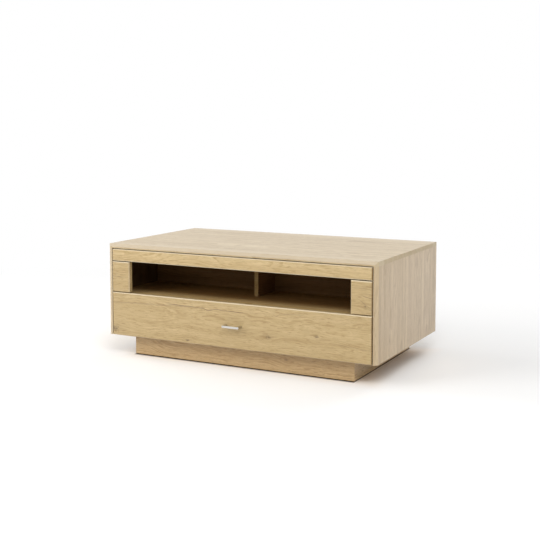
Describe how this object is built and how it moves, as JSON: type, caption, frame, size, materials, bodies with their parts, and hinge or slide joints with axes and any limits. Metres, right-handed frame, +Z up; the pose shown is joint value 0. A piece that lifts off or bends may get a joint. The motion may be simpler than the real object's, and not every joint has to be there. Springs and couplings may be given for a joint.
{
  "type": "coffee table",
  "caption": "Low oak coffee table on a recessed plinth, with a bevelled frame, an open divided niche and a wide drawer with a bow handle on each long side.",
  "frame": {"origin": "on the floor, under the middle of the table", "axes": "+X along the table's width, -Y towards the pictured front, +Z up"},
  "size_m": [1.1, 0.696, 0.425],
  "materials": {
    "oak": "pale oak, matt oiled, grain and small knots showing",
    "oak_inside": "pale oak, matt, inside faces",
    "drawer_wood": "pale board, matt lacquer",
    "plywood": "thin plywood, matt",
    "spruce": "planed softwood, raw",
    "beech": "turned beech, raw",
    "runner_steel": "zinc-plated rolled steel",
    "screw_steel": "zinc-plated steel",
    "handle_metal": "bright satin metal",
    "glide_plastic": "dark moulded plastic",
    "bumper_rubber": "soft clear rubber"
  },
  "bodies": {
    "carcass": {"block_cleats": "spruce", "bottom_panel": "oak_inside", "cabinet_screws": "screw_steel", "dowels": "beech", "front_divider": "oak_inside", "front_left_block": "oak", "front_left_cabinet_rail": "runner_steel", "front_right_block": "oak", "front_right_cabinet_rail": "runner_steel", "front_top_rail": "oak", "glides": "glide_plastic", "left_side_panel": "oak", "lower_centre_wall": "oak_inside", "niche_shelf": "oak_inside", "plinth_brace": "spruce", "plinth_corner_blocks": "spruce", "plinth_front": "oak", "plinth_left": "oak", "plinth_rear": "oak", "plinth_right": "oak", "rail_cleats": "spruce", "rear_divider": "oak_inside", "rear_left_block": "oak", "rear_left_cabinet_rail": "runner_steel", "rear_right_block": "oak", "rear_right_cabinet_rail": "runner_steel", "rear_top_rail": "oak", "right_side_panel": "oak", "runner_screws": "screw_steel", "top_front_lip": "oak", "top_panel": "oak", "top_rear_lip": "oak", "upper_centre_wall": "oak_inside"},
    "front_drawer": {"front_drawer_bottom": "plywood", "front_drawer_box_back": "drawer_wood", "front_drawer_box_front": "drawer_wood", "front_drawer_bumpers": "bumper_rubber", "front_drawer_front": "oak", "front_drawer_left_side": "drawer_wood", "front_drawer_right_side": "drawer_wood", "front_drawer_screws": "screw_steel", "front_handle": "handle_metal", "front_handle_screws": "screw_steel", "front_left_drawer_rail": "runner_steel", "front_right_drawer_rail": "runner_steel"},
    "front_runner_middles": {"front_middle_rails": "runner_steel"},
    "rear_drawer": {"rear_drawer_bottom": "plywood", "rear_drawer_box_back": "drawer_wood", "rear_drawer_box_front": "drawer_wood", "rear_drawer_bumpers": "bumper_rubber", "rear_drawer_front": "oak", "rear_drawer_left_side": "drawer_wood", "rear_drawer_right_side": "drawer_wood", "rear_drawer_screws": "screw_steel", "rear_handle": "handle_metal", "rear_handle_screws": "screw_steel", "rear_left_drawer_rail": "runner_steel", "rear_right_drawer_rail": "runner_steel"},
    "rear_runner_middles": {"rear_middle_rails": "runner_steel"}
  },
  "joints": [
    {"name": "front_drawer_slide", "type": "slide", "parent": "carcass", "child": "front_drawer", "axis": [0, -1, 0], "range_m": [0, 0.25]},
    {"name": "front_middle_slide", "type": "slide", "parent": "carcass", "child": "front_runner_middles", "axis": [0, -1, 0], "range_m": [0, 0.125]},
    {"name": "rear_drawer_slide", "type": "slide", "parent": "carcass", "child": "rear_drawer", "axis": [0, 1, 0], "range_m": [0, 0.25]},
    {"name": "rear_middle_slide", "type": "slide", "parent": "carcass", "child": "rear_runner_middles", "axis": [0, 1, 0], "range_m": [0, 0.125]}
  ],
  "couplings": [
    {"joint": "front_middle_slide", "follows": "front_drawer_slide", "ratio": 0.5},
    {"joint": "rear_middle_slide", "follows": "rear_drawer_slide", "ratio": 0.5}
  ]
}
